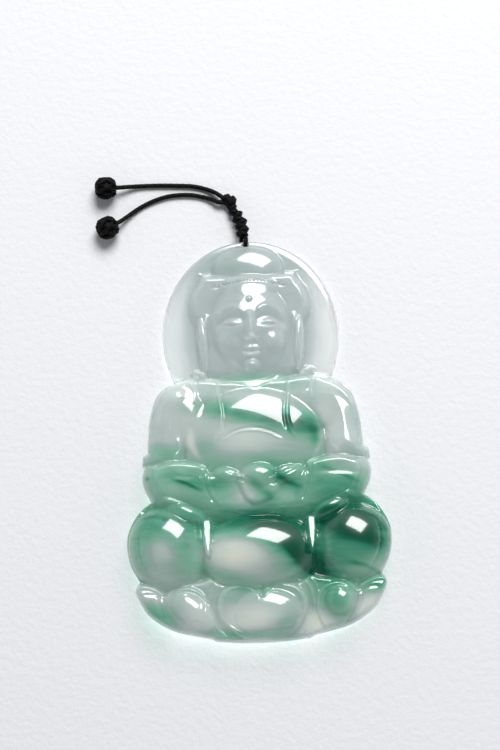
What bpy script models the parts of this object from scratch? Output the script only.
"""A carved jade pendant on a knotted cord: a seated Buddha on a lotus, in front of a round halo.

The pendant lies on its back. X runs across it, +Y from the lotus towards the halo, and +Z out of
the carved front. The origin is the middle of the stone's bounding box, on the surface it lies on.
"""

import math

import bmesh
import bpy
import numpy as np
from mathutils import Matrix, Vector

MM = 0.001

# Driving dimensions, in millimetres.
STONE_HEIGHT = 66.0
HALO_HALF_WIDTH = 14.5
HALO_HALF_HEIGHT = 16.0
HALO_CENTRE_Y = STONE_HEIGHT / 2 - HALO_HALF_HEIGHT
HALO_FRONT = 3.0
LOTUS_EDGE_FRONT = 3.9
LOTUS_EDGE_BELOW_Y = -22.0
BODY_EDGE_BELOW_Y = 8.2
NECK_STEP_LENGTH = 0.6
EDGE_ROUNDING = 3.2
EDGE_RISE = 3.6
HALO_EDGE_FRONT = 2.7
MIDDLE = Vector((0.0, -5.0))
ANGLES = 132
RINGS = 26
ARC_POINTS = 40
CURVE_SAMPLES = 8

# The back of the halo is planed off at a slant, so that the cord can pass under the rim.
SLANT_START_Y = 8.0
SLANT_TOP_Z = 1.25
SLANT_CUTTER_END_Y = STONE_HEIGHT / 2 + 5.0
SLANT_CUTTER_HALF_WIDTH = 30.0
SLANT_CUTTER_FOOT_Z = -2.0

# The cord hole runs slantwise from the halo's top edge to its back.
HOLE_RADIUS = 0.62
HOLE_FRONT = Vector((-0.2, 32.35, 2.9))
HOLE_BACK = Vector((-0.2, 31.5, 1.2))
HOLE_OVERRUN = 3.0
HOLE_SIDES = 20

CORD_DIAMETER = 0.8
CORD_POINTS_PER_DIAMETER = 1.05

# Right half of the stone's outline below the halo, in stretches that meet at corners.
SIDE_STRETCHES = (
    ((12.85, 9.45), (14.5, 8.5), (16.0, 6.7), (17.0, 3.4), (17.35, 0.2), (17.5, -2.0)),
    ((17.5, -2.0), (18.65, -2.9), (18.85, -3.5), (18.1, -4.4)),
    ((18.1, -4.4), (18.5, -5.9), (18.2, -7.8), (17.15, -9.95)),
    ((17.15, -9.95), (19.2, -11.7), (20.75, -14.3), (21.2, -16.9), (20.7, -20.0), (19.3, -22.7)),
    ((19.3, -22.7), (20.3, -23.6)),
    ((20.3, -23.6), (19.6, -25.5), (17.9, -28.2), (13.9, -30.7), (8.3, -32.2), (0.0, -33.0)),
)

# Rounded forms of the relief: middle x and y, half width, half height, front.
# Those off the middle line stand on both sides of it.
FORMS = {
    "head": (0.0, 18.2, 7.4, 9.0, 6.9),
    "hair": (0.0, 21.6, 9.3, 7.8, 5.3),
    "ushnisha": (0.0, 27.3, 5.0, 4.8, 5.2),
    "ear": (7.6, 16.1, 1.7, 6.0, 5.0),
    "neck": (0.0, 9.6, 5.0, 3.6, 5.2),
    "chest": (0.0, 2.6, 12.6, 8.4, 6.9),
    "belly": (0.0, -0.6, 11.0, 8.2, 7.4),
    "arm": (13.4, 0.8, 4.6, 9.4, 6.3),
    "forearm": (11.8, -4.2, 6.9, 2.6, 7.1),
    "hands": (0.4, -6.1, 4.2, 2.3, 8.2),
    "knee": (12.2, -7.9, 6.4, 3.4, 7.5),
    "lap": (0.0, -9.0, 10.5, 4.3, 7.4),
    "side_petal": (14.8, -17.4, 6.4, 6.7, 8.1),
    "centre_petal": (0.0, -18.7, 9.2, 6.2, 8.6),
    "heart_lobe": (3.1, -27.4, 4.1, 4.9, 7.2),
    "bud": (11.6, -27.3, 3.7, 4.6, 6.6),
    "outer_leaf": (16.8, -25.8, 4.2, 3.2, 5.3),
}
PLATE_FRONT = {"halo": HALO_FRONT, "body": 4.4}

# The knots between the stone and the collar: middle, half width.
SINNET = {
    "snake_knot_1": ((-0.6, 34.75, 1.85), 1.05),
    "snake_knot_2": ((-0.75, 36.15, 1.5), 1.05),
    "snake_knot_3": ((-1.25, 37.5, 1.2), 1.0),
    "snake_knot_4": ((-2.0, 38.85, 1.0), 0.8),
}
SNAKE_HALF_LENGTH = 0.5
SNAKE_HALF_DEPTH = 0.92

COLLAR_MIDDLE = Vector((-2.7, 40.35, 0.96))
COLLAR_HALF_SIZES = (1.35, 0.85, 0.92)
COLLAR_TURN = math.radians(-28.0)

END_KNOTS = {
    "end_knot_upper": Vector((-23.1, 43.35, 1.85)),
    "end_knot_lower": Vector((-23.0, 36.5, 1.85)),
}
END_KNOT_RADIUS = 1.82

# Facets round each kind of knot and from pole to pole.
SMALL_KNOT_FACETS = (20, 12)
END_KNOT_FACETS = (24, 14)

# Joint axes, as points on them.
TILT_PIVOT = Vector((-0.3, 33.95, 1.85))
SWING_PIVOT = Vector((-0.68, 35.45, 1.68))

# Routes of the cord's free stretches, from the stone outwards.
LOOP_ROUTE = (
    (-0.12, 33.6, 2.3),
    (-0.1, 33.25, 3.0),
    (-0.15, 32.75, 3.2),
    (-0.2, 32.35, 2.9),
    (-0.2, 31.95, 2.1),
    (-0.2, 31.5, 1.2),
    (-0.25, 31.5, 0.62),
    (-0.4, 32.1, 0.45),
    (-0.6, 32.9, 0.55),
    (-0.78, 33.4, 0.95),
    (-0.85, 33.6, 1.4),
)
TAIL_ROUTES = {
    "tail_cord_upper": (
        (-4.15, 41.55, 1.0),
        (-5.2, 42.3, 0.7),
        (-6.7, 43.0, 0.42),
        (-8.7, 43.5, 0.42),
        (-11.2, 43.7, 0.42),
        (-14.4, 43.85, 0.42),
        (-17.4, 43.85, 0.5),
        (-19.2, 43.7, 0.9),
        (-20.85, 43.5, 1.4),
    ),
    "tail_cord_lower": (
        (-4.45, 40.4, 1.0),
        (-5.4, 40.95, 0.7),
        (-6.8, 41.5, 0.42),
        (-8.7, 41.95, 0.42),
        (-11.0, 42.05, 0.42),
        (-13.2, 41.8, 0.42),
        (-15.6, 41.05, 0.42),
        (-17.8, 39.95, 0.42),
        (-19.6, 38.65, 0.75),
        (-21.1, 37.5, 1.4),
    ),
}


def clear_scene():
    for obj in list(bpy.data.objects):
        bpy.data.objects.remove(obj, do_unlink=True)


def material(name, colour, roughness, transmission=0.0):
    made = bpy.data.materials.new(name)
    made.use_nodes = True
    shader = made.node_tree.nodes["Principled BSDF"]
    shader.inputs["Base Color"].default_value = (*colour, 1.0)
    shader.inputs["Roughness"].default_value = roughness
    shader.inputs["Metallic"].default_value = 0.0
    shader.inputs["Transmission Weight"].default_value = transmission
    made.diffuse_color = (*colour, 1.0)
    return made


def add_mesh(name, mesh_in_mm, finish, origin=Vector((0.0, 0.0, 0.0))):
    """An object whose own origin is at origin, made from a bmesh in world millimetres."""
    mesh_in_mm.transform(Matrix.Translation(-origin))
    mesh_in_mm.transform(Matrix.Scale(MM, 4))
    bmesh.ops.recalc_face_normals(mesh_in_mm, faces=mesh_in_mm.faces)
    mesh = bpy.data.meshes.new(name)
    mesh_in_mm.to_mesh(mesh)
    mesh_in_mm.free()
    mesh.materials.append(finish)
    obj = bpy.data.objects.new(name, mesh)
    obj.location = origin * MM
    bpy.context.scene.collection.objects.link(obj)
    return obj


def smooth_curve(points, samples):
    """Points along a Catmull-Rom curve through the given points."""
    points = np.array(points, float)
    ends = (2 * points[0] - points[1], 2 * points[-1] - points[-2])
    padded = np.vstack((ends[0], points, ends[1]))
    made = []
    for i in range(len(points) - 1):
        a, b, c, d = padded[i : i + 4]
        for t in np.linspace(0.0, 1.0, samples, endpoint=False):
            made.append(
                b
                + 0.5 * t * (c - a)
                + t**2 * (a - 2.5 * b + 2.0 * c - 0.5 * d)
                + t**3 * (1.5 * (b - c) + 0.5 * (d - a))
            )
    return np.vstack((made, points[-1]))


def evenly_spaced(points, spacing):
    """The same line, as points the given distance apart."""
    steps = np.linalg.norm(np.diff(points, axis=0), axis=1)
    along = np.concatenate(([0.0], np.cumsum(steps)))
    count = max(2, round(along[-1] / spacing) + 1)
    places = np.linspace(0.0, along[-1], count)
    return np.stack([np.interp(places, along, points[:, i]) for i in range(3)], axis=1)


def right_half_outline():
    """The outline's right half, from the top of the halo down to the foot of the lotus."""
    corner = Vector(SIDE_STRETCHES[0][0])
    halo_end = math.asin((corner.y - HALO_CENTRE_Y) / HALO_HALF_HEIGHT)
    angles = np.linspace(math.pi / 2, halo_end, ARC_POINTS)
    arc = np.stack((np.cos(angles), np.sin(angles)), axis=1)
    arc = arc * (HALO_HALF_WIDTH, HALO_HALF_HEIGHT) + (0.0, HALO_CENTRE_Y)
    stretches = [smooth_curve(points, CURVE_SAMPLES)[:-1] for points in SIDE_STRETCHES]
    return np.vstack([arc[:-1], *stretches, SIDE_STRETCHES[-1][-1]])


def outline_radius(angles):
    """Distance from MIDDLE to the outline, in each direction. Angle 0 is +Y, and both sides match."""
    half = right_half_outline() - np.array(MIDDLE)
    turned = np.arctan2(half[:, 0], half[:, 1])
    return np.interp(np.abs(angles), turned, np.hypot(half[:, 0], half[:, 1]))


def relief(x, y):
    """Front of the carving over the point x, y, before its edge is rounded."""
    across = np.abs(x)
    join = 1 / (1 + np.exp((y - BODY_EDGE_BELOW_Y) / NECK_STEP_LENGTH))
    plate = PLATE_FRONT["halo"] + (PLATE_FRONT["body"] - PLATE_FRONT["halo"]) * join
    front = plate
    for middle_x, middle_y, half_width, half_height, top in FORMS.values():
        reach = ((across - middle_x) / half_width) ** 2 + ((y - middle_y) / half_height) ** 2
        dome = plate + (top - plate) * np.sqrt(np.clip(1 - reach, 0.0, 1.0))
        front = np.maximum(front, dome)
    return front


def edge_front(y):
    """Height of the stone's edge: thin round the halo, thick round the lotus."""
    share = np.clip((BODY_EDGE_BELOW_Y - y) / (BODY_EDGE_BELOW_Y - LOTUS_EDGE_BELOW_Y), 0.0, 1.0)
    return HALO_EDGE_FRONT + (LOTUS_EDGE_FRONT - HALO_EDGE_FRONT) * share


def stone_blank():
    """The carved front on a flat back, as rings of points round MIDDLE."""
    angles = np.arange(ANGLES) * 2 * math.pi / ANGLES
    angles[angles > math.pi] -= 2 * math.pi
    reach = outline_radius(angles)
    made = bmesh.new()
    centre = made.verts.new((*MIDDLE, float(relief(*MIDDLE))))
    rings = []
    for ring in range(1, RINGS + 1):
        share = ring / RINGS
        x = MIDDLE.x + np.sin(angles) * reach * share
        y = MIDDLE.y + np.cos(angles) * reach * share
        inward = np.clip((1 - share) * reach / EDGE_ROUNDING, 0.0, 1.0)
        limit = edge_front(y) + EDGE_RISE * np.sqrt(1 - (1 - inward) ** 2)
        limit = np.where(inward < 1, limit, np.inf)
        z = np.minimum(relief(x, y), limit)
        rings.append([made.verts.new(point) for point in zip(x, y, z)])
    back = [made.verts.new((vert.co.x, vert.co.y, 0.0)) for vert in rings[-1]]
    for i in range(ANGLES):
        after = (i + 1) % ANGLES
        made.faces.new((centre, rings[0][after], rings[0][i]))
        for inner, outer in zip(rings, rings[1:]):
            made.faces.new((inner[i], inner[after], outer[after], outer[i]))
        made.faces.new((rings[-1][i], rings[-1][after], back[after], back[i]))
    made.faces.new(back)
    return made


def cutter(name, mesh_in_mm, finish):
    made = add_mesh(name, mesh_in_mm, finish)
    made.hide_render = True
    made.display_type = "WIRE"
    return made


def cut(obj, tool):
    modifier = obj.modifiers.new("cut_" + tool.name, "BOOLEAN")
    modifier.operation = "DIFFERENCE"
    modifier.object = tool
    modifier.solver = "EXACT"


def slant_cutter(finish):
    """A wedge under the halo, from the back's bend line up to the rim."""
    slope = SLANT_TOP_Z / (STONE_HEIGHT / 2 - SLANT_START_Y)
    profile = (
        (SLANT_START_Y, 0.0),
        (SLANT_CUTTER_END_Y, slope * (SLANT_CUTTER_END_Y - SLANT_START_Y)),
        (SLANT_CUTTER_END_Y, SLANT_CUTTER_FOOT_Z),
        (SLANT_START_Y, SLANT_CUTTER_FOOT_Z),
    )
    made = bmesh.new()
    left = [made.verts.new((-SLANT_CUTTER_HALF_WIDTH, y, z)) for y, z in profile]
    right = [made.verts.new((SLANT_CUTTER_HALF_WIDTH, y, z)) for y, z in profile]
    made.faces.new(left)
    made.faces.new(right)
    for i in range(len(profile)):
        after = (i + 1) % len(profile)
        made.faces.new((left[i], left[after], right[after], right[i]))
    return cutter("slant_cutter", made, finish)


def hole_cutter(finish):
    along = HOLE_FRONT - HOLE_BACK
    length = along.length + 2 * HOLE_OVERRUN
    place = Matrix.Translation((HOLE_FRONT + HOLE_BACK) / 2)
    turn = along.to_track_quat("Z", "Y").to_matrix().to_4x4()
    made = bmesh.new()
    bmesh.ops.create_cone(
        made,
        cap_ends=True,
        segments=HOLE_SIDES,
        radius1=HOLE_RADIUS,
        radius2=HOLE_RADIUS,
        depth=length,
        matrix=place @ turn,
    )
    return cutter("hole_cutter", made, finish)


def stone(finish):
    made = add_mesh("jade_carving", stone_blank(), finish)
    cut(made, slant_cutter(finish))
    cut(made, hole_cutter(finish))
    made.data.shade_smooth()
    made.data.set_sharp_from_angle(angle=math.radians(50))
    return made


def cord(name, route, finish, origin):
    """A round cord along a smooth curve through the route, with flat ends."""
    points = smooth_curve(route, CURVE_SAMPLES)
    points = evenly_spaced(points, CORD_DIAMETER / CORD_POINTS_PER_DIAMETER)
    curve = bpy.data.curves.new(name, "CURVE")
    curve.dimensions = "3D"
    curve.bevel_depth = CORD_DIAMETER / 2 * MM
    curve.bevel_resolution = 2
    curve.use_fill_caps = True
    spline = curve.splines.new("POLY")
    spline.points.add(len(points) - 1)
    for point, place in zip(spline.points, points):
        point.co = (*((Vector(place) - origin) * MM), 1.0)
    curve.materials.append(finish)
    made = bpy.data.objects.new(name, curve)
    made.location = origin * MM
    bpy.context.scene.collection.objects.link(made)
    return made


def knot(name, middle, half_sizes, finish, origin, turn=0.0, facets=SMALL_KNOT_FACETS):
    """A tightened knot as a smooth swollen form."""
    made = bmesh.new()
    place = Matrix.Translation(middle) @ Matrix.Rotation(turn, 4, "Z")
    shape = Matrix.Diagonal((*half_sizes, 1.0))
    bmesh.ops.create_uvsphere(
        made, u_segments=facets[0], v_segments=facets[1], radius=1.0, matrix=place @ shape
    )
    obj = add_mesh(name, made, finish, origin)
    obj.data.shade_smooth()
    return obj


def sinnet(finish):
    for name, (middle, half_width) in SINNET.items():
        origin = TILT_PIVOT if name == "snake_knot_1" else SWING_PIVOT
        half_sizes = (half_width, SNAKE_HALF_LENGTH, SNAKE_HALF_DEPTH)
        knot(name, Vector(middle), half_sizes, finish, origin)
    knot("collar_knot", COLLAR_MIDDLE, COLLAR_HALF_SIZES, finish, SWING_PIVOT, COLLAR_TURN)


def tails(finish):
    for name, route in TAIL_ROUTES.items():
        pivot = Vector(route[0])
        end = name.replace("tail_cord", "end_knot")
        cord(name, route, finish, pivot)
        half_sizes = (END_KNOT_RADIUS,) * 3
        knot(end, END_KNOTS[end], half_sizes, finish, pivot, facets=END_KNOT_FACETS)


def build():
    clear_scene()
    jade = material("jade", (0.46, 0.62, 0.53), 0.06, transmission=0.4)
    thread = material("black_cord", (0.012, 0.011, 0.011), 0.7)
    stone(jade)
    cord("hanging_loop", LOOP_ROUTE, thread, Vector(LOOP_ROUTE[0]))
    sinnet(thread)
    tails(thread)


build()
